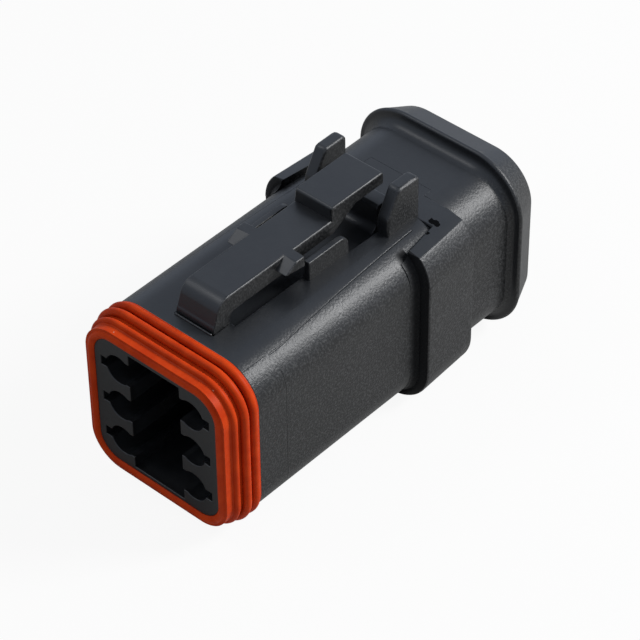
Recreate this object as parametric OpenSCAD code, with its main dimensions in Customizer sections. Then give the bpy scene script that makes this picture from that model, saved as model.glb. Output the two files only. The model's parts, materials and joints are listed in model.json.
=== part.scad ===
// Six-way sealed plug with a latch lever, a front seal, a wire seal and a rear end cap.
// Millimetres. Pieces are drawn in the plug's own frame: the contact face is y = 0,
// the middle of the contact grid is x = 0, z = 0, and the wires leave toward +Y.
// place() then puts the origin under the middle of the plug, on the plane it rests on.

/* [Body shell] */
// Width of the body
body_w = 24.1; // [23.9:0.05:25]
// Height of the flat top above the contact axis
body_top = 11.95; // [11.85:0.05:12.4]
// Depth of the underside below the contact axis
body_bottom = 11.8; // [11.6:0.05:12.4]
// Radius of the body's long edges
body_r = 5.2; // [4.8:0.1:5.6]
// Length of the nose that carries the front seal
nose_len = 5.2; // [5:0.1:6]
// How far the nose is set in from the body's sides
nose_inset = 2.1; // [2:0.05:2.3]
// Length of the shell from the contact face to the end cap
shell_len = 43.3; // [42.8:0.1:45]

/* [Contact grid] */
// Distance between rows
row_pitch = 5.84; // [5.6:0.02:5.9]
// Distance between the two columns
column_gap = 11.8; // [11.4:0.1:12]
// Radius of a contact cavity
cavity_r = 2.1; // [1.95:0.05:2.15]
// Width of the channel from a cavity to the middle pocket
channel_w = 3.5; // [3:0.1:3.7]
// Width of the slot on a cavity's outer side
slot_w = 1.4; // [1:0.1:1.8]
// Distance from the middle to the end of a slot
slot_reach = 8.9; // [8.4:0.1:9]
// Width of the middle pocket, which takes the wedge lock
pocket_w = 8.3; // [7.6:0.1:8.6]
// Height of the middle pocket
pocket_h = 18.4; // [17.6:0.1:18.6]
// Depth of the middle pocket
pocket_depth = 20; // [16:0.5:21]

/* [Front seal] */
// How far the lip stands in front of the contact face
lip_proud = 0.35; // [0.2:0.05:0.6]
// Thickness of the front lip
lip_t = 1.1; // [1:0.05:1.3]
// Thickness of the sleeve between the ribs
sleeve_t = 1.45; // [1.3:0.05:1.5]
// How far the main ribs stand out past the body's sides
rib_proud = 0.38; // [0.1:0.02:0.5]
// Radius of a main rib
rib_r = 0.55; // [0.45:0.05:0.6]
// Radius of the small rib behind the lip
small_rib_r = 0.45; // [0.35:0.05:0.5]
// Clearance between the seal and the nose
seal_gap = 0.02; // [0.01:0.01:0.05]

/* [Collar] */
// Length of the collar
collar_len = 8.95; // [8.6:0.05:10]
// How far the front of the collar stands out at the sides
collar_side = 1.67; // [1.6:0.01:2]
// How far the front of the collar stands out at the bottom
collar_drop = 1.5; // [1.4:0.05:2]
// How far the collar narrows toward the rear, all round
collar_draft = 0.42; // [0.2:0.02:0.6]
// Radius of the collar's corners at the front
collar_r = 6.45; // [6:0.05:6.9]
// How far the corners' upper centres lie above the contact axis
collar_shoulder_z = 7.1; // [6.8:0.05:7.3]
// Radius of the hollow where the body meets the collar
collar_fillet = 1.67; // [1:0.01:1.67]
// Distance from the middle to the inner edge of a shoulder's flat, at the front
ledge_x = 10.4; // [9.8:0.1:10.6]
// How far that edge runs inward toward the rear
ledge_lean = 0.8; // [0.4:0.1:1]
// Length of a shoulder's flat before it runs into the top
ledge_len = 5.1; // [4.6:0.1:6]
// Angle at which a shoulder's flat falls away from the top
ledge_fall = 12; // [8:1:15]

/* [Latch lever] */
// Width of the lever
lever_w = 6.1; // [5.8:0.1:6.3]
// Height of the lever's flat top above the body's top
lever_rise = 4.2; // [4:0.1:4.6]
// Thickness of the lever near its root
lever_t = 2.75; // [2.5:0.05:2.9]
// Thickness of the lever behind the catches
lever_tail_t = 2.15; // [2:0.05:2.3]
// Distance from the contact face to the middle of the lever's root
root_y = 8.75; // [8.4:0.05:9]
// Radius of the rounded root
root_r = 1.5; // [1.4:0.05:1.55]
// Clearance round the root in its seat
root_gap = 0.05; // [0.02:0.01:0.1]
// Radius of the lever's rounded nose
lever_nose_r = 2.3; // [1.8:0.1:2.5]
// Distance from the contact face to the front of the catches
catch_y = 18.05; // [17.5:0.05:18.2]
// Length of a catch
catch_len = 3.5; // [3:0.1:3.55]
// Height of a catch at its front
catch_front_t = 1.2; // [1:0.1:1.5]
// How far a catch stands out from the lever
catch_out = 1.85; // [1.5:0.05:1.95]
// Length of the sloping front of a catch
catch_ramp = 1.9; // [1.4:0.1:2.2]
// Distance from the contact face to the thumb pad
pad_y = 28.35; // [28:0.05:28.8]
// Length of the thumb pad
pad_len = 9.5; // [9:0.1:9.8]
// Height of the thumb pad above the lever
pad_rise = 1.95; // [1.6:0.05:2.2]
// Radius of the long top edges of the lever and its thumb pad
lever_edge = 0.3; // [0.15:0.05:0.4]

/* [Trough and guards] */
// Depth of the trough under the lever
trough_depth = 1.35; // [1.2:0.05:1.5]
// Width of the trough beside the front of the lever
trough_w = 7.7; // [7.4:0.1:7.9]
// Distance from the contact face to the front of the trough
trough_y = 10.25; // [10.2:0.05:10.6]
// Distance from the contact face to the rear of the trough
trough_end_y = 35.6; // [35.5:0.05:35.9]
// Distance from the contact face to the guide walls
wall_y = 21.9; // [21.85:0.05:22.3]
// Length of a guide wall
wall_len = 7.2; // [6.6:0.1:7.4]
// Height of a guide wall above the body's top
wall_rise = 2.8; // [2.4:0.1:3]
// Width across the outer faces of the guide walls
wall_span = 10.2; // [10.1:0.1:10.6]
// Thickness of a guide wall
wall_t = 0.9; // [0.8:0.05:1]
// Height of the stop under the thumb pad above the body's top
stop_rise = 2.4; // [2:0.05:2.45]
// Width of the stop under the thumb pad
stop_w = 7.9; // [7.4:0.1:8.2]
// Length of the stop under the thumb pad
stop_len = 2.7; // [2.2:0.1:3.2]
// Distance from the contact face to the guard ears
ear_y = 34.2; // [34:0.05:34.6]
// Length of an ear at its foot
ear_len = 6; // [5.6:0.1:6.4]
// Height of an ear above the body's top
ear_rise = 6.25; // [5.6:0.05:6.5]
// Height at which an ear's front begins to slope back
ear_knee = 2.4; // [2:0.1:2.8]
// How far an ear's front slopes back
ear_lean = 2.15; // [1.6:0.05:2.4]
// Thickness of an ear
ear_t = 1.85; // [1.6:0.05:2]
// Radius of an ear's outer top edge
ear_edge = 0.5; // [0.3:0.05:0.6]
// Width across the outer faces of the ears
ear_span = 13.8; // [13.5:0.1:14.2]

/* [Wire seal] */
// How far the seal's chamber is set in from the body's sides
chamber_inset = 2.65; // [2.6:0.05:2.8]
// Thickness of the shell above the chamber
chamber_roof = 2.75; // [2.6:0.05:2.9]
// Thickness of the shell below the chamber
chamber_floor = 2.25; // [2.2:0.05:2.4]
// Radius of the chamber's corners
chamber_r = 3; // [2.6:0.1:3.4]
// Depth of the chamber from the shell's rear
chamber_len = 10.3; // [9.8:0.1:10.8]
// Depth of the grooves round the wire seal
seal_groove = 0.55; // [0.4:0.05:0.7]
// Radius of a wire hole between its ribs
wire_hole_r = 1.3; // [1.1:0.05:1.5]
// Radius of a wire hole at its ribs
wire_rib_r = 0.85; // [0.7:0.05:1]
// Clearance between the wire seal and its chamber
chamber_gap = 0.02; // [0.01:0.01:0.05]

/* [End cap] */
// How far the cap's sides lie inside the body's
cap_inset = 0.15; // [0.05:0.05:0.3]
// How far the cap's underside lies inside the body's
cap_raise = 0.2; // [0:0.05:0.5]
// Radius of the cap's corners
cap_r = 6.3; // [5.8:0.1:6.6]
// Length of the cap from the shell to its rear edge
cap_len = 13.4; // [13:0.1:14.4]
// Length of the cap's flange
flange_len = 4.6; // [4:0.1:5]
// How far the flange stands out at its sides
flange_rise = 1.6; // [1.4:0.05:1.8]
// How much farther the flange stands out above than at its sides
flange_high = 0.4; // [0.2:0.05:0.5]
// How much farther the flange stands out below than at its sides
flange_low = 0.1; // [0:0.05:0.4]
// How far the flange tapers in toward the rear
flange_taper = 1.85; // [1.5:0.05:2]
// Length of the rounded rim at the front of the flange
flange_rim = 0.4; // [0.3:0.05:0.5]
// Radius of the flange's rear edge
flange_edge = 0.5; // [0.3:0.05:0.6]
// Thickness of the cap's wall
cap_wall = 1.7; // [1.5:0.05:1.8]
// Length of the plug that the cap pushes into the shell
cap_plug = 1.7; // [1.5:0.1:1.8]
// Thickness of the cap's web behind the shell
cap_web = 1.7; // [1.5:0.1:2.2]
// Radius of a wire hole in the cap's web
web_hole_r = 1.75; // [1.5:0.05:1.85]
// Width of the shell's tongue in the top of the cap
tongue_w = 10; // [9:0.1:10.6]
// Length of the shell's tongue
tongue_len = 1.4; // [1.2:0.1:1.6]
// Thickness of the shell's tongue
tongue_t = 1.4; // [1.2:0.05:1.5]
// Clearance between the cap and the shell
cap_gap = 0.02; // [0.01:0.01:0.05]

/* [Hidden] */
$fn = 32;
FINE = 16;  // sides of the small circles that make the seals' ribs
CUT = 1;   // how far a cutting shape runs past the face it cuts

plug_len = shell_len + cap_len;
axis_h = body_bottom + collar_drop;
mid_y = (plug_len - lip_proud) / 2;
columns = [-column_gap / 2, column_gap / 2];
rows = [-row_pitch, 0, row_pitch];

// centres of the body's edge rounding
edge_x = body_w / 2 - body_r;
edge_top = body_top - body_r;
edge_bottom = body_bottom - body_r;
nose_r = body_r - nose_inset;

collar_y = shell_len - collar_len;
lever_top = body_top + lever_rise;
lever_under = lever_top - lever_t;
tail_under = lever_top - lever_tail_t;
pad_top = lever_top + pad_rise;
pad_end = pad_y + pad_len;
pad_lift = 0.1;      // how far the underside of the thumb pad lies above the lever's top
pad_lap = 0.3;       // how far the bar runs under the pad before its underside rises
rise_y = pad_y + pad_lap;
plinth_h = 0.25;
root_z = body_top + plinth_h;
trough_floor = body_top - trough_depth;

cap_w = body_w - 2 * cap_inset;
cap_bottom = body_bottom - cap_raise;

chamber_y = shell_len - chamber_len;
chamber_w = body_w - 2 * chamber_inset;
chamber_top = body_top - chamber_roof;
chamber_bottom = body_bottom - chamber_floor;

black = [0.1, 0.105, 0.12];
orange = [0.78, 0.22, 0.06];

// Moves a piece from the plug's own frame to the frame of the whole part.
module place() {
    translate([0, -mid_y, axis_h]) children();
}

// Stands a drawing in x and z up, and turns its extrusion to run along +Y.
module along_y(y0) {
    translate([0, y0, 0]) mirror([0, 1, -1]) children();
}

// Turns a side profile drawn in y and z into a solid of width w, centred on x.
module side_profile(w, x = 0) {
    translate([x - w / 2, 0, 0]) rotate([90, 0, 90]) linear_extrude(w) children();
}

// A shape and its mirror image on the other side of the plug.
module both_sides() {
    children();
    mirror([1, 0, 0]) children();
}

// A rounded rectangle from -bottom to top, with its own radius above and below.
module section(w, top, bottom, r_top, r_bottom) {
    translate([-w / 2, -bottom + r_bottom]) square([w, top + bottom - r_top - r_bottom]);
    translate([-w / 2 + r_top, 0]) square([w - 2 * r_top, top]);
    translate([-w / 2 + r_bottom, -bottom]) square([w - 2 * r_bottom, bottom]);
    for (side = [-1, 1]) {
        translate([side * (w / 2 - r_top), top - r_top]) circle(r_top);
        translate([side * (w / 2 - r_bottom), -bottom + r_bottom]) circle(r_bottom);
    }
}

// A profile in radius and length, carried round a rectangle with its corners turned.
// The rectangle is 2 * cx wide and reaches from -cb to ct.
module swept(cx, ct, cb) {
    stops = [[cx, ct, ct + cb], [-cx, ct, 2 * cx], [-cx, -cb, ct + cb], [cx, -cb, 2 * cx]];
    for (k = [0 : 3])
        translate([stops[k][0], stops[k][1], 0]) rotate([0, 0, 90 * k]) {
            rotate_extrude(angle = 90) children();
            rotate([90, 0, 0]) linear_extrude(stops[k][2]) children();
        }
}

// Repeats a shape at each of the six contact positions.
module at_contacts() {
    for (x = columns, z = rows) translate([x, z]) children();
}

// ---------------------------------------------------------------- housing

// Openings of the contact face: six cavities joined to the middle pocket.
module face_openings() {
    square([pocket_w, pocket_h], center = true);
    at_contacts() circle(cavity_r);
    for (z = rows) {
        translate([0, z]) square([column_gap, channel_w], center = true);
        translate([0, z]) square([2 * slot_reach, slot_w], center = true);
    }
}

// Half section of the collar: the hollow in front of it, then its drafted wall.
module collar_profile() {
    polygon([[0, -CUT / 2], [0, collar_len], [collar_r - collar_draft, collar_len], [collar_r, 0],
             [collar_r - CUT, -CUT / 2]]);
    difference() {
        translate([0, -collar_fillet]) square([collar_r, collar_fillet]);
        translate([collar_r, -collar_fillet]) circle(collar_fillet);
    }
}

// Space left over the collar by the flat top and the falling shoulders.
module over_collar() {
    flat_x = ledge_x - ledge_lean;
    reach = body_w;
    top = body_top + body_r;
    polygon([[-flat_x, body_top], [flat_x, body_top],
             [reach, body_top - (reach - flat_x) * tan(ledge_fall)], [reach, top],
             [-reach, top], [-reach, body_top - (reach - flat_x) * tan(ledge_fall)]]);
}

// The collar behind the grip. Its shoulders rise past the body's rounded edges, and
// run into the flat top only at the rear.
module collar() {
    front = collar_fillet + CUT;
    difference() {
        along_y(collar_y) swept(body_w / 2 + collar_side - collar_r, collar_shoulder_z,
            body_bottom + collar_drop - collar_r) collar_profile();
        along_y(collar_y - front) linear_extrude(collar_len + front + CUT) over_collar();
        translate([0, 0, edge_top]) linear_extrude(body_r + CUT)
            polygon([[-ledge_x, collar_y - front], [ledge_x, collar_y - front],
                     [ledge_x, collar_y], [ledge_x - ledge_lean, collar_y + ledge_len],
                     [ledge_lean - ledge_x, collar_y + ledge_len], [-ledge_x, collar_y]]);
    }
}

// Walls beside the lever, behind its catches, each with a rounded rear corner.
module guide_walls() {
    r = wall_rise / 2;
    top = body_top + wall_rise;
    both_sides() side_profile(wall_t, (wall_span - wall_t) / 2) {
        translate([wall_y, trough_floor]) square([wall_len, top - r - trough_floor]);
        translate([wall_y, trough_floor]) square([wall_len - r, top - trough_floor]);
        translate([wall_y + wall_len - r, top - r]) circle(r);
    }
}

// Side view of a guard ear: an upright foot, then a front that slopes back to a
// rounded top.
module ear_outline() {
    r = 0.8;
    top = body_top + ear_rise;
    knee_z = body_top + ear_knee;
    slope = atan(ear_lean / (top - knee_z));
    front = ear_y + ear_lean + r * (1 - sin(slope)) / cos(slope);
    rear = ear_y + ear_len;
    for (y = [front, rear - r]) translate([y, top - r]) circle(r);
    polygon([[ear_y, trough_floor], [ear_y, knee_z],
             [front - r * cos(slope), top - r + r * sin(slope)], [front, top],
             [rear - r, top], [rear - r, top - r], [rear, top - r], [rear, trough_floor]]);
}

// Ears that guard the thumb pad from the sides.
module guard_ears() {
    intersection() {
        both_sides() side_profile(ear_t, (ear_span - ear_t) / 2) ear_outline();
        along_y(0) linear_extrude(shell_len)
            section(ear_span, body_top + ear_rise, body_bottom, ear_edge, ear_edge);
    }
}

// The block that the thumb pad comes down on.
module pad_stop() {
    r = 0.5;
    hollow = 1.2;    // radius of the hollow at the foot of the block
    h = trough_depth + stop_rise;
    side_profile(stop_w) translate([trough_end_y, trough_floor]) {
        square([stop_len, h - r]);
        translate([r, 0]) square([stop_len - 2 * r, h]);
        translate([r, h - r]) circle(r);
        translate([stop_len - r, h - r]) circle(r);
        difference() {
            translate([-hollow, 0]) square(hollow);
            translate([-hollow, hollow]) circle(hollow);
        }
    }
}

// Space cut into the top of the shell so that the lever can be pressed down.
module trough() {
    depth = trough_depth + CUT;
    slots = [
        [trough_w, trough_y, wall_y + CUT],
        [wall_span - 2 * wall_t, wall_y, wall_y + wall_len + CUT],
        [wall_span, wall_y + wall_len, trough_end_y]
    ];
    for (s = slots)
        translate([-s[0] / 2, s[1], trough_floor]) cube([s[0], s[2] - s[1], depth]);
}

// Raised foot in front of the lever, with the rounded seat that its root turns in.
module root_plinth() {
    front = 0.35;    // how far the foot reaches in front of the lever
    translate([-lever_w / 2, root_y - root_r - front, body_top - CUT])
        cube([lever_w, trough_y - root_y + root_r + front, CUT + plinth_h]);
}

module root_seat() {
    w = lever_w + 2 * root_gap;
    translate([-w / 2, root_y, root_z]) rotate([0, 90, 0]) cylinder(h = w, r = root_r + root_gap);
    translate([-w / 2, root_y, root_z - root_r / 2]) cube([w, root_r + root_gap, root_r]);
}

// Tongue at the rear of the shell that fits the notch in the end cap.
module rear_tongue() {
    translate([-tongue_w / 2, shell_len - CUT, body_top - tongue_t])
        cube([tongue_w, tongue_len + CUT, tongue_t]);
}

module housing() {
    color(black) place() difference() {
        union() {
            difference() {
                union() {
                    along_y(0) linear_extrude(nose_len + CUT)
                        section(body_w - 2 * nose_inset, body_top - nose_inset,
                            body_bottom - nose_inset, nose_r, nose_r);
                    along_y(nose_len) linear_extrude(shell_len - nose_len)
                        section(body_w, body_top, body_bottom, body_r, body_r);
                    collar();
                    root_plinth();
                }
                trough();
                root_seat();
            }
            guide_walls();
            guard_ears();
            pad_stop();
            rear_tongue();
        }
        along_y(-CUT) linear_extrude(pocket_depth + CUT) face_openings();
        along_y(pocket_depth - CUT) linear_extrude(chamber_y - pocket_depth + 2 * CUT)
            at_contacts() circle(cavity_r);
        along_y(chamber_y) linear_extrude(shell_len - chamber_y + CUT)
            section(chamber_w, chamber_top, chamber_bottom, chamber_r, chamber_r);
    }
}

// ------------------------------------------------------------ latch lever

// Side view of the bar: rounded root and nose, a thick front, and a tail that thins
// toward the thumb pad.
module bar_outline() {
    nose = [root_y + root_r, lever_top - lever_nose_r];
    lead = 157;      // angle at which the nose meets the sloping front
    heel = 0.9;      // radius of the inner corner between root and bar
    step_lap = 0.9;  // how far the thick front of the bar runs past the guide walls' front
    step_len = 0.6;
    step_y = wall_y + step_lap;
    translate([root_y, root_z]) circle(root_r);
    translate(nose) intersection() {
        circle(lever_nose_r);
        translate([-lever_nose_r, 0]) square(lever_nose_r);
    }
    polygon([
        [root_y - root_r, root_z],
        nose + lever_nose_r * [cos(lead), sin(lead)],
        [nose[0], lever_top], [rise_y, lever_top], [rise_y, tail_under],
        [step_y + step_len, tail_under], [step_y, lever_under],
        [root_y + root_r, lever_under], [root_y + root_r, root_z]]);
    translate([root_y + root_r, lever_under - heel]) difference() {
        square(heel);
        translate([heel, 0]) circle(heel);
    }
}

// Side view of the thumb pad and of the slope that joins it to the bar's underside.
module pad_outline() {
    rear_r = 0.5;
    rise_len = 4;    // length of the slope
    under = lever_top + pad_lift;
    translate([pad_end - rear_r, pad_top - rear_r]) circle(rear_r);
    polygon([
        [pad_y, tail_under], [pad_y, pad_top], [pad_end - rear_r, pad_top],
        [pad_end - rear_r, pad_top - rear_r], [pad_end, pad_top - rear_r], [pad_end, under],
        [rise_y + rise_len, under], [rise_y, tail_under]]);
}

// A bar's outline seen from the side, w wide, with its two long top edges rounded.
module soft_bar(w, top) {
    intersection() {
        side_profile(w) children();
        along_y(0) linear_extrude(plug_len) section(w, top, body_bottom, lever_edge, lever_edge);
    }
}

// Ramped catch on each side, flush with the lever's top.
module catches() {
    rear_t = 1.65;   // height of a catch at its rear
    rear = catch_y + catch_len;
    sunk = 2 * lever_edge;
    both_sides() side_profile(catch_out + sunk, (lever_w + catch_out - sunk) / 2)
        polygon([
            [catch_y, lever_top - catch_front_t],
            [catch_y + catch_ramp, lever_top],
            [rear - 0.15, lever_top],
            [rear, lever_top - rear_t]]);
}

module latch_lever() {
    color(black) place() {
        soft_bar(lever_w, lever_top) bar_outline();
        soft_bar(lever_w, pad_top) pad_outline();
        catches();
    }
}

// --------------------------------------------------------- interface seal

// Section of the front seal: radius from the edge centres against length.
module seal_profile() {
    inner = nose_r + seal_gap;
    sleeve = nose_r + sleeve_t;
    rear = nose_len - seal_gap;
    crest = body_r + rib_proud;
    lip_r = lip_t / 2;
    taper_y = 0.1;                 // start of the slope behind the lip
    taper_end = 1.15;
    small_y = 1.6;
    mid_rib_y = 3.05;
    rear_rib_y = rear - rib_r - 0.1;
    small_x = body_r - small_rib_r - 0.08;
    translate([inner, 0]) square([sleeve - inner, rear]);
    translate([inner + lip_r, lip_r - lip_proud]) circle(lip_r, $fn = FINE);
    polygon([[inner + lip_r, 0], [inner + lip_t - 0.05, taper_y], [sleeve + 0.1, taper_end],
             [sleeve + 0.1, small_y], [inner, small_y]]);
    translate([small_x, small_y]) circle(small_rib_r, $fn = FINE);
    translate([inner, small_y]) square([small_x + 0.05 - inner, mid_rib_y - small_y]);
    for (y = [mid_rib_y, rear_rib_y])
        translate([crest - rib_r, y]) circle(rib_r, $fn = FINE);
    translate([inner, rear_rib_y]) square([crest - rib_r / 2 - inner, rear - rear_rib_y]);
}

module interface_seal() {
    color(orange) place() along_y(0) swept(edge_x, edge_top, edge_bottom) seal_profile();
}

// -------------------------------------------------------------- wire seal

// Section of the wire seal, grown or shrunk evenly by inset.
module wire_seal_section(inset) {
    section(chamber_w - 2 * inset, chamber_top - inset, chamber_bottom - inset,
        chamber_r - inset, chamber_r - inset);
}

module wire_seal() {
    ribs = 3;
    rib_len = 1.4;
    y0 = chamber_y + chamber_gap;
    wire_seal_len = chamber_len - cap_plug - 2 * chamber_gap;
    step = (wire_seal_len - rib_len) / (ribs - 1);
    color(orange) place() difference() {
        union() {
            along_y(y0) linear_extrude(wire_seal_len)
                wire_seal_section(chamber_gap + seal_groove);
            for (k = [0 : ribs - 1])
                along_y(y0 + k * step) linear_extrude(rib_len) wire_seal_section(chamber_gap);
        }
        along_y(y0 - CUT) linear_extrude(wire_seal_len + 2 * CUT)
            at_contacts() circle(wire_rib_r, $fn = FINE);
        for (k = [0 : ribs - 2])
            along_y(y0 + k * step + rib_len) linear_extrude(step - rib_len)
                at_contacts() circle(wire_hole_r, $fn = FINE);
    }
}

// ---------------------------------------------------------------- end cap

// Half section of the flange: a hollow in front, a rounded rim, a taper and a rounded
// rear edge.
module flange_profile() {
    rim_y = cap_len - flange_len;
    crest = cap_r + flange_rise;
    rim = [crest - flange_rim, rim_y + flange_rim];
    hollow = flange_rise + flange_high - flange_rim;
    fall = atan(flange_taper / (flange_len - flange_rim));
    rear = [crest - flange_taper + flange_edge * (tan(fall) - 1 / cos(fall)),
            cap_len - flange_edge];
    difference() {
        translate([0, rim_y - hollow]) square([rim[0], hollow + flange_rim]);
        translate([rim[0], rim_y - hollow]) circle(hollow);
    }
    translate(rim) circle(flange_rim);
    translate(rear) circle(flange_edge);
    polygon([[0, rim_y], [rim[0], rim_y], rim, [crest, rim[1]],
             rear + flange_edge * [cos(fall), sin(fall)], rear, [rear[0], cap_len], [0, cap_len]]);
}

module end_cap() {
    cx = cap_w / 2 - cap_r;
    ct = body_top - cap_r + flange_high;
    cb = cap_bottom - cap_r + flange_low;
    fit_w = tongue_w + 2 * cap_gap;
    color(black) place() difference() {
        union() {
            along_y(shell_len + cap_gap) linear_extrude(cap_len - flange_len)
                section(cap_w, body_top, cap_bottom, cap_r, cap_r);
            along_y(shell_len) swept(cx, ct, cb) flange_profile();
            along_y(shell_len + cap_gap) translate([-cx, -cb, 0])
                cube([2 * cx, ct + cb, cap_len - cap_gap]);
            along_y(shell_len - cap_plug) linear_extrude(cap_plug + CUT)
                wire_seal_section(cap_gap);
        }
        along_y(shell_len + cap_web) linear_extrude(cap_len)
            section(cap_w - 2 * cap_wall, body_top - cap_wall, cap_bottom - cap_wall,
                cap_r - cap_wall, cap_r - cap_wall);
        along_y(shell_len - cap_plug - CUT) linear_extrude(cap_plug + cap_web + 2 * CUT)
            at_contacts() circle(web_hole_r);
        translate([-fit_w / 2, shell_len - CUT, body_top - tongue_t - cap_gap])
            cube([fit_w, tongue_len + CUT + cap_gap, 2 * tongue_t]);
    }
}

housing();
latch_lever();
interface_seal();
wire_seal();
end_cap();
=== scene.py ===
"""Sealed plug with a latch lever: bevelled mouldings, silicone seals and studio light."""
import json
import math

import bmesh
import bpy
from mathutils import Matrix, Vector

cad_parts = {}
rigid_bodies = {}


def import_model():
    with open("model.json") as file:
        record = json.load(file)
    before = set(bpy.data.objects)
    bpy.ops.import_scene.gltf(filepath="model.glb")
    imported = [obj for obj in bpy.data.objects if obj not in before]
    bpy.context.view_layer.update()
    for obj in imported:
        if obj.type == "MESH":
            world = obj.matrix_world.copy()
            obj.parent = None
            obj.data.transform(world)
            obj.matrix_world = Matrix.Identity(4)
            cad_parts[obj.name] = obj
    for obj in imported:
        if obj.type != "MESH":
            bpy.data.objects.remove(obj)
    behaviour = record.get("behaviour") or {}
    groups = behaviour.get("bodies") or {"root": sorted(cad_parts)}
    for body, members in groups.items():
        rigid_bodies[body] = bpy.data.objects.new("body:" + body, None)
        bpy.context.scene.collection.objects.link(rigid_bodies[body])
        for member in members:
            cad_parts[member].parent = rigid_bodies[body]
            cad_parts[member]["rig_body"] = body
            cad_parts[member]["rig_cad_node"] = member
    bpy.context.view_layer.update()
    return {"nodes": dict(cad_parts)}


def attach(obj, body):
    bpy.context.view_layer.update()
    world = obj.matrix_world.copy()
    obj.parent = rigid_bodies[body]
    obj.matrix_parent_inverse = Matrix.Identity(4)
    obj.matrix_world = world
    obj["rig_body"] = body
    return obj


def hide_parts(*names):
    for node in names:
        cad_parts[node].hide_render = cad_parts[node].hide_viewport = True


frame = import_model()
NODES = frame["nodes"]

MM = 0.001
# The plug's own frame: contact face at y = 0, contact axis at z = 0, in millimetres.
FACE_Y = -28.175
AXIS_Z = 13.3


def plug(x, y, z):
    """A point of the plug's own frame, in metres of the part's frame."""
    return Vector((x, y + FACE_Y, z + AXIS_Z)) * MM


# ------------------------------------------------------------------ shader maths
class Sock:
    """A node socket that builds Math nodes from Python expressions."""

    def __init__(self, tree, out):
        self.tree, self.out = tree, out

    def _math(self, op, *args):
        node = self.tree.nodes.new("ShaderNodeMath")
        node.operation = op
        for i, a in enumerate(args):
            if isinstance(a, Sock):
                self.tree.links.new(a.out, node.inputs[i])
            else:
                node.inputs[i].default_value = a
        return Sock(self.tree, node.outputs[0])

    def __add__(self, o): return self._math("ADD", self, o)
    def __radd__(self, o): return self._math("ADD", o, self)
    def __sub__(self, o): return self._math("SUBTRACT", self, o)
    def __rsub__(self, o): return self._math("SUBTRACT", o, self)
    def __mul__(self, o): return self._math("MULTIPLY", self, o)
    def __rmul__(self, o): return self._math("MULTIPLY", o, self)
    def __abs__(self): return self._math("ABSOLUTE", self)
    def least(self, o): return self._math("MINIMUM", self, o)
    def most(self, o): return self._math("MAXIMUM", self, o)
    def within(self, lo, hi): return self.most(lo).least(hi)
    def squared(self): return self * self
    def root(self): return self._math("SQRT", self)

    def step(self, lo, hi):
        """0 below lo, 1 above hi, a smooth rise between."""
        node = self.tree.nodes.new("ShaderNodeMapRange")
        node.interpolation_type = "SMOOTHSTEP"
        for name, v in (("Value", self), ("From Min", lo), ("From Max", hi)):
            if isinstance(v, Sock):
                self.tree.links.new(v.out, node.inputs[name])
            else:
                node.inputs[name].default_value = v
        return Sock(self.tree, node.outputs[0])


class Finish:
    """A Principled material with helpers for its pattern nodes."""

    def __init__(self, name, rgb, roughness, **fixed):
        self.mat = bpy.data.materials.new(name)
        self.mat.use_nodes = True
        self.tree = self.mat.node_tree
        self.shader = self.tree.nodes["Principled BSDF"]
        self.shader.inputs["Base Color"].default_value = (*rgb, 1)
        self.shader.inputs["Roughness"].default_value = roughness
        for key, value in fixed.items():
            self.shader.inputs[key.replace("_", " ")].default_value = value
        coord = self.tree.nodes.new("ShaderNodeTexCoord")
        self.point = coord.outputs["Object"]
        self.facing = Sock(self.tree, coord.outputs["Normal"])

    def node(self, kind, settings=(), out=0, **inputs):
        node = self.tree.nodes.new(kind)
        for key, value in dict(settings).items():
            setattr(node, key, value)
        for key, value in inputs.items():
            socket = node.inputs[int(key[1:]) if key[0] == "_" else key]
            if isinstance(value, Sock):
                self.tree.links.new(value.out, socket)
            elif isinstance(value, bpy.types.NodeSocket):
                self.tree.links.new(value, socket)
            else:
                socket.default_value = value
        return Sock(self.tree, node.outputs[out])

    def xyz(self, source=None):
        """The three coordinates of a point, in the plug's own millimetres."""
        node = self.tree.nodes.new("ShaderNodeSeparateXYZ")
        self.tree.links.new(source or self.point, node.inputs[0])
        return [Sock(self.tree, o) for o in node.outputs]

    def plug_mm(self):
        x, y, z = self.xyz()
        return x * 1000.0, y * 1000.0 - FACE_Y, z * 1000.0 - AXIS_Z

    def noise(self, size_mm, detail=2.0, rough=0.5):
        return self.node("ShaderNodeTexNoise", Vector=self.point, Scale=1000.0 / size_mm,
                         Detail=detail, Roughness=rough)

    def mix_rgb(self, mask, a, b):
        return self.node("ShaderNodeMix", {"data_type": "RGBA"}, out=2, _0=mask, _6=a, _7=b)

    def link(self, value, name):
        self.tree.links.new(value.out, self.shader.inputs[name])

    def bump(self, height, depth_mm, under=None):
        node = self.tree.nodes.new("ShaderNodeBump")
        node.inputs["Strength"].default_value = 1.0
        node.inputs["Distance"].default_value = depth_mm * MM
        self.tree.links.new(height.out, node.inputs["Height"])
        if under is not None:
            self.tree.links.new(under.out, node.inputs["Normal"])
        return Sock(self.tree, node.outputs[0])


# ------------------------------------------------------------------ finishes
BLACK = (0.0080, 0.0086, 0.0098)
COOL_DARK, COOL_PALE = (0.0056, 0.0063, 0.0076, 1), (0.0085, 0.0093, 0.0106, 1)
GRAIN_DARK, GRAIN_PALE = (0.0020, 0.0022, 0.0023, 1), (0.0240, 0.0245, 0.0250, 1)
FACE_SHADE_BLACK = (0.0030, 0.0032, 0.0036, 1)
# black for the mould lines' dark joints and for painted shade
LINE_AND_SHADE_BLACK = (0.0030, 0.0030, 0.0032, 1)
RESIN_TAN = (0.20, 0.11, 0.06, 1)
SEAL_DEEP, SEAL_BRIGHT = (0.365, 0.028, 0.0037, 1), (0.445, 0.041, 0.0056, 1)
DUST = (0.55, 0.40, 0.32, 1)

# Places along the plug, in millimetres from the contact face.
SEAL_END = (4.0, 5.3)       # the grain fades in here, behind the front seal
INSERT_END = 10.0           # parting line of the nose's mould insert
COLLAR_FRONT = 34.3
HOUSING_REAR = 42.4         # from here the joint with the rear cap is close


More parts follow.
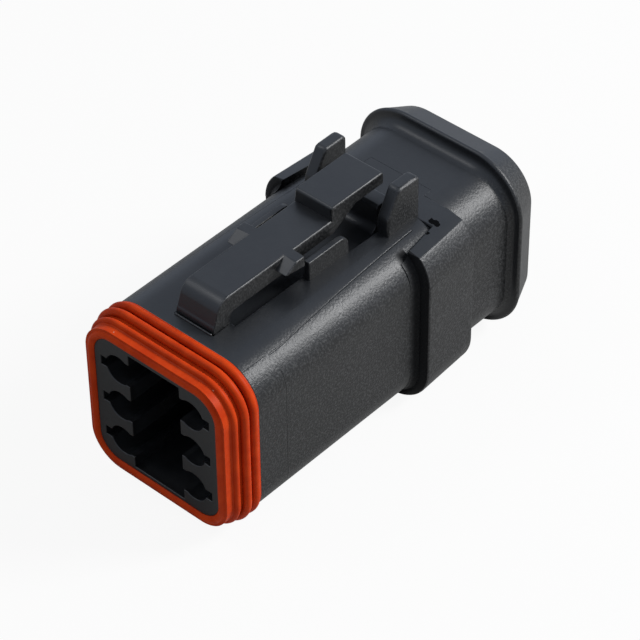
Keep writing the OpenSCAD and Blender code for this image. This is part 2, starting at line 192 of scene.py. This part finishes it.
def mould_lines(x, y, z):
    """Parting lines of the mould inserts, on the top, the front corner and the sides."""
    along = (y - 11.7).within(0.0, 30.0)
    edge = 9.64 - along * 0.082 + along.squared() * 0.00083
    half = abs(x)
    top = 1.0 - abs(half - edge).step(0.03, 0.11)
    top = top * z.step(8.6, 9.0) * y.step(9.6, 9.9) * (1.0 - y.step(37.2, 37.5))
    side = (1.0 - abs(y - INSERT_END).step(0.03, 0.12)) * (1.0 - z.step(9.2, 9.6))
    side = side * half.step(9.3, 9.6) * z.step(-8.4, -7.6)
    front = (1.0 - abs(half - 9.45).step(0.02, 0.09)) * z.step(8.6, 9.0) * (1.0 - y.step(9.0, 9.3))
    return top.most(side).most(front * y.step(5.0, 5.3) * 0.6)


def torn_edge(f, x, y, z):
    """Two small ragged tears in the top of the collar, on the right."""
    ragged = (f.noise(0.55, 3.0, 0.6) - 0.5) * 0.8
    wide = (abs(x - 9.25) - 0.40).most(0.0)
    far = (wide.squared() + (y - 40.2).squared()).root() + ragged
    near = ((x - 9.9).squared() + (y - 38.1).squared()).root() + ragged * 0.6
    tear = (1.0 - far.step(0.36, 0.46)).most(1.0 - near.step(0.22, 0.30))
    return tear * z.step(8.8, 9.2)


def black_plastic(name, lines_and_shade=False, grain=1.0, pip=None):
    """Satin black nylon: spark-eroded grain on the sides, a smoother top and nose."""
    f = Finish(name, BLACK, 0.42, IOR=1.42)
    x, y, z = f.plug_mm()
    nx, ny, nz = f.xyz(f.facing.out)
    sides = abs(nx).step(0.25, 0.5).most((nz * -1.0).step(0.3, 0.6))
    sides = sides * y.step(*SEAL_END)
    speck = f.noise(0.30, 2.0, 0.5)
    mottle = f.noise(1.1, 3.0, 0.6)
    flow = f.noise(6.0, 3.0, 0.6)
    # colour: a slight cool cast on top, patches that the mould leaves
    tone = (mottle * 0.5 + flow * 0.5).step(0.3, 0.7)
    colour = f.mix_rgb(tone, COOL_DARK, COOL_PALE)
    grainy = f.mix_rgb(speck.step(0.42, 0.72), GRAIN_DARK, GRAIN_PALE)
    colour = f.mix_rgb(sides, colour, grainy)
    # painted shade on the contact face, recessed inside the seal's lip
    face = 1.0 - y.step(0.3, 1.2)
    colour = f.mix_rgb(face, colour, FACE_SHADE_BLACK)
    rough = 0.35 + flow * 0.08 + sides * (speck * 0.12)
    height = speck * sides * 1.0 + speck * (1.0 - sides) * 0.16 + mottle * 0.12
    normal = f.bump(height, 0.052 * grain)
    if lines_and_shade:
        line = mould_lines(x, y, z)
        normal = f.bump(1.0 - line, 0.05, under=normal)
        nick = torn_edge(f, x, y, z)
        normal = f.bump(1.0 - nick, 0.25, under=normal)
        # painted shade in the deep corner in front of the collar and in the pits of the tears:
        # black with metallic takes the gloss away there
        nook_shade = y.step(COLLAR_FRONT - 2.0, COLLAR_FRONT - 0.8)
        nook_shade = nook_shade * (1.0 - y.step(COLLAR_FRONT - 0.05, COLLAR_FRONT + 0.03))
        nook_shade = nook_shade * abs(x).step(8.9, 9.6)
        painted_shade = nick.most(nook_shade * 0.75)
        # mould lines darkened as dark joints; the nook and the tears as painted shade
        colour = f.mix_rgb(line.most(painted_shade), colour, LINE_AND_SHADE_BLACK)
        f.link(painted_shade, "Metallic")
        rough = rough + painted_shade * 0.4
    if pip:
        # one grain of tan resin caught in the moulding
        far = ((x - pip[0]).squared() + (y - pip[1]).squared() + (z - pip[2]).squared()).root()
        colour = f.mix_rgb(1.0 - far.step(0.16, 0.32), colour, RESIN_TAN)
    f.link(colour, "Base Color")
    f.link(rough, "Roughness")
    f.tree.links.new(normal.out, f.shader.inputs["Normal"])
    return f.mat


def silicone():
    """Orange silicone: smooth, slightly waxy, with a few specks of dust."""
    f = Finish("orange_silicone", SEAL_BRIGHT[:3], 0.42, IOR=1.40, Specular_IOR_Level=0.07)
    tone = f.noise(2.5, 3.0, 0.6)
    fine = f.noise(0.12, 2.0, 0.5)
    colour = f.mix_rgb(tone.step(0.3, 0.7), SEAL_DEEP, SEAL_BRIGHT)
    # a few pale specks of dust that stick to the rubber
    dots = 1.0 - f.node("ShaderNodeTexVoronoi", {"feature": "F1"}, Vector=f.point,
                        Scale=700.0, Randomness=1.0).step(0.05, 0.10)
    colour = f.mix_rgb(dots * f.noise(3.1, 2.0, 0.5).step(0.60, 0.64), colour, DUST)
    f.link(colour, "Base Color")
    f.link(0.36 + fine * 0.16, "Roughness")
    normal = f.bump(fine * 0.6 + tone * 0.8, 0.012)
    f.tree.links.new(normal.out, f.shader.inputs["Normal"])
    return f.mat


shell_black = black_plastic("shell_black", lines_and_shade=True)
lever_black = black_plastic("lever_black", grain=0.8)
cap_black = black_plastic("cap_black", pip=(-9.95, 52.15, 9.95))
seal_orange = silicone()


# ------------------------------------------------------------------ pieces
def only(obj):
    bpy.ops.object.select_all(action="DESELECT")
    obj.select_set(True)
    bpy.context.view_layer.objects.active = obj


def paint(obj, mat):
    obj.data.materials.clear()
    obj.data.materials.append(mat)


def merged_copy(node, name):
    """A copy of a solid with its triangles joined into whole flat faces."""
    piece = NODES[node].copy()
    piece.data = NODES[node].data.copy()
    piece.name = piece.data.name = name
    piece.parent = None
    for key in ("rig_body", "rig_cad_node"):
        if key in piece:
            del piece[key]
    bpy.context.scene.collection.objects.link(piece)
    only(piece)
    bpy.ops.object.mode_set(mode="EDIT")
    bpy.ops.mesh.select_all(action="SELECT")
    bpy.ops.mesh.remove_doubles(threshold=0.002 * MM)
    bpy.ops.mesh.customdata_custom_splitnormals_clear()
    bpy.ops.mesh.dissolve_limited(angle_limit=math.radians(0.6))
    bpy.ops.object.mode_set(mode="OBJECT")
    return piece


def round_edges(piece, width_at, widest, segments=3, angle=28):
    """Rounds the outer edges; width_at gives an edge's width in mm at a point of the plug."""
    mesh = bmesh.new()
    mesh.from_mesh(piece.data)
    weight = mesh.edges.layers.float.new("bevel_weight_edge")
    for edge in mesh.edges:
        if edge.calc_face_angle_signed(0) > math.radians(angle):
            mid = (edge.verts[0].co + edge.verts[1].co) / 2 / MM
            edge[weight] = width_at(mid.x, mid.y - FACE_Y, mid.z - AXIS_Z) / widest
    mesh.to_mesh(piece.data)
    mesh.free()
    bevel = piece.modifiers.new("edges", "BEVEL")
    bevel.width, bevel.segments, bevel.limit_method = widest * MM, segments, "WEIGHT"
    bevel.use_clamp_overlap = False
    bpy.ops.object.modifier_apply(modifier="edges")
    bpy.ops.object.shade_smooth_by_angle(angle=math.radians(40))
    even = piece.modifiers.new("even", "WEIGHTED_NORMAL")
    even.mode, even.weight, even.keep_sharp = "FACE_AREA", 60, True
    bpy.ops.object.modifier_apply(modifier="even")


def lever_edge(x, y, z):
    """The thumb pad's front is rounder than the lever's other edges."""
    return 0.40 if 27 < y < 28.5 and z > 16.4 else 0.20


def cap_edge(x, y, z):
    """Only the cap's flange is rounded; its front is a close joint."""
    return 0.25 if y > 45.2 else 0.0


def fitted(piece, node, mat, body):
    """Puts a finished moulding in the place of its solid."""
    paint(piece, mat)
    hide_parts(node)
    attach(piece, body)
    return piece


def shell_edge(x, y, z):
    """How wide the housing's outer edges are rounded, in mm, from place to place."""
    half = abs(x)
    if y > 0.05 and half < 9.2 and abs(z) < 9.6:
        return 0.0          # inside the cavities and the seal's chamber
    if y < 0.05:
        return 0.12
    if y > HOUSING_REAR and half < 8.5:
        return 0.03         # the close joint with the rear cap
    if 31.0 < y < 35.5 and half > 7.5 and z > 5:
        return 0.0          # the hollow in front of the collar
    if half > 5 and z > 12.2 and y > 34:
        return 0.42         # guard ears
    return 0.20


shell = merged_copy("housing", "shell")
round_edges(shell, shell_edge, 0.42)
fitted(shell, "housing", shell_black, "plug_body")
lever = merged_copy("latch_lever", "lever")
round_edges(lever, lever_edge, 0.40)
fitted(lever, "latch_lever", lever_black, "latch")
rear_cap = merged_copy("end_cap", "rear_cap")
round_edges(rear_cap, cap_edge, 0.25)
fitted(rear_cap, "end_cap", cap_black, "plug_body")
for name in ("interface_seal", "wire_seal"):
    paint(NODES[name], seal_orange)
    only(NODES[name])
    bpy.ops.object.shade_smooth_by_angle(angle=math.radians(60))


# ------------------------------------------------------------------ floor, light and camera
def by_ray(tree, rays, share, others, seen):
    """One shader for the named kinds of ray, another for the rest."""
    path = tree.nodes.new("ShaderNodeLightPath")
    looks = Sock(tree, path.outputs[rays[0]])
    for ray in rays[1:]:
        looks = looks.most(Sock(tree, path.outputs[ray]))
    mix = tree.nodes.new("ShaderNodeMixShader")
    tree.links.new((looks * share).out, mix.inputs[0])
    tree.links.new(others, mix.inputs[1])
    tree.links.new(seen, mix.inputs[2])
    return mix.outputs[0]


def white_floor():
    bpy.ops.object.select_all(action="DESELECT")
    bpy.ops.mesh.primitive_plane_add(size=3.0, location=(0, 0, 0))
    floor = bpy.context.object
    floor.name = "floor"
    mat = bpy.data.materials.new("white_floor")
    mat.use_nodes = True
    tree = mat.node_tree
    shader = tree.nodes["Principled BSDF"]
    shader.inputs["Base Color"].default_value = (0.50, 0.50, 0.50, 1)
    shader.inputs["Roughness"].default_value = 0.9
    shader.inputs["Specular IOR Level"].default_value = 0.0
    white = tree.nodes.new("ShaderNodeEmission")
    white.inputs["Strength"].default_value = 1.0
    seen = by_ray(tree, ("Is Camera Ray",), 0.92, shader.outputs[0], white.outputs[0])
    tree.links.new(seen, tree.nodes["Material Output"].inputs["Surface"])
    paint(floor, mat)
    return floor


def backdrop(tree, colour, strength):
    back = tree.nodes.new("ShaderNodeBackground")
    back.inputs[0].default_value = colour
    back.inputs[1].default_value = strength
    return back.outputs[0]


def studio_world():
    world = bpy.data.worlds.new("studio")
    bpy.context.scene.world = world
    world.use_nodes = True
    tree = world.node_tree
    soft = backdrop(tree, (0.95, 0.98, 1.0, 1), 0.42)
    mirrored = backdrop(tree, (0.80, 0.90, 1.08, 1), 1.0)
    white = backdrop(tree, (1, 1, 1, 1), 1.0)
    inner = by_ray(tree, ("Is Glossy Ray", "Is Transmission Ray"), 1.0, soft, mirrored)
    outer = by_ray(tree, ("Is Camera Ray",), 1.0, inner, white)
    tree.links.new(outer, tree.nodes["World Output"].inputs[0])


white_floor()
studio_world()


def softbox(name, toward, distance, size, watts, colour=(1, 1, 1)):
    """A square area light that faces the plug from a direction."""
    lamp = bpy.data.lights.new(name, "AREA")
    lamp.size, lamp.energy, lamp.color = size, watts, colour
    lamp.shape = "SQUARE"
    obj = bpy.data.objects.new(name, lamp)
    bpy.context.scene.collection.objects.link(obj)
    d = Vector(toward).normalized()
    obj.location = plug(0, 28, 0) + d * distance
    obj.rotation_euler = d.to_track_quat("Z", "Y").to_euler()
    return obj


softbox("key", (0.57, 0.55, 0.61), 0.45, 0.13, 2.8)
softbox("nose", (-0.50, -0.31, 0.80), 0.50, 0.12, 0.36)

camera_data = bpy.data.cameras.new("camera")
camera = bpy.data.objects.new("camera", camera_data)
bpy.context.scene.collection.objects.link(camera)
camera_data.lens, camera_data.sensor_width = 165.0456, 36.0
camera_data.clip_start, camera_data.clip_end = 0.01, 20
camera.location = plug(184.5755, -173.3074, 244.3411)
camera.rotation_euler = (0.8379266, 0.0084596, 0.7311696)
bpy.context.scene.camera = camera
bpy.context.scene.view_settings.view_transform = "Standard"
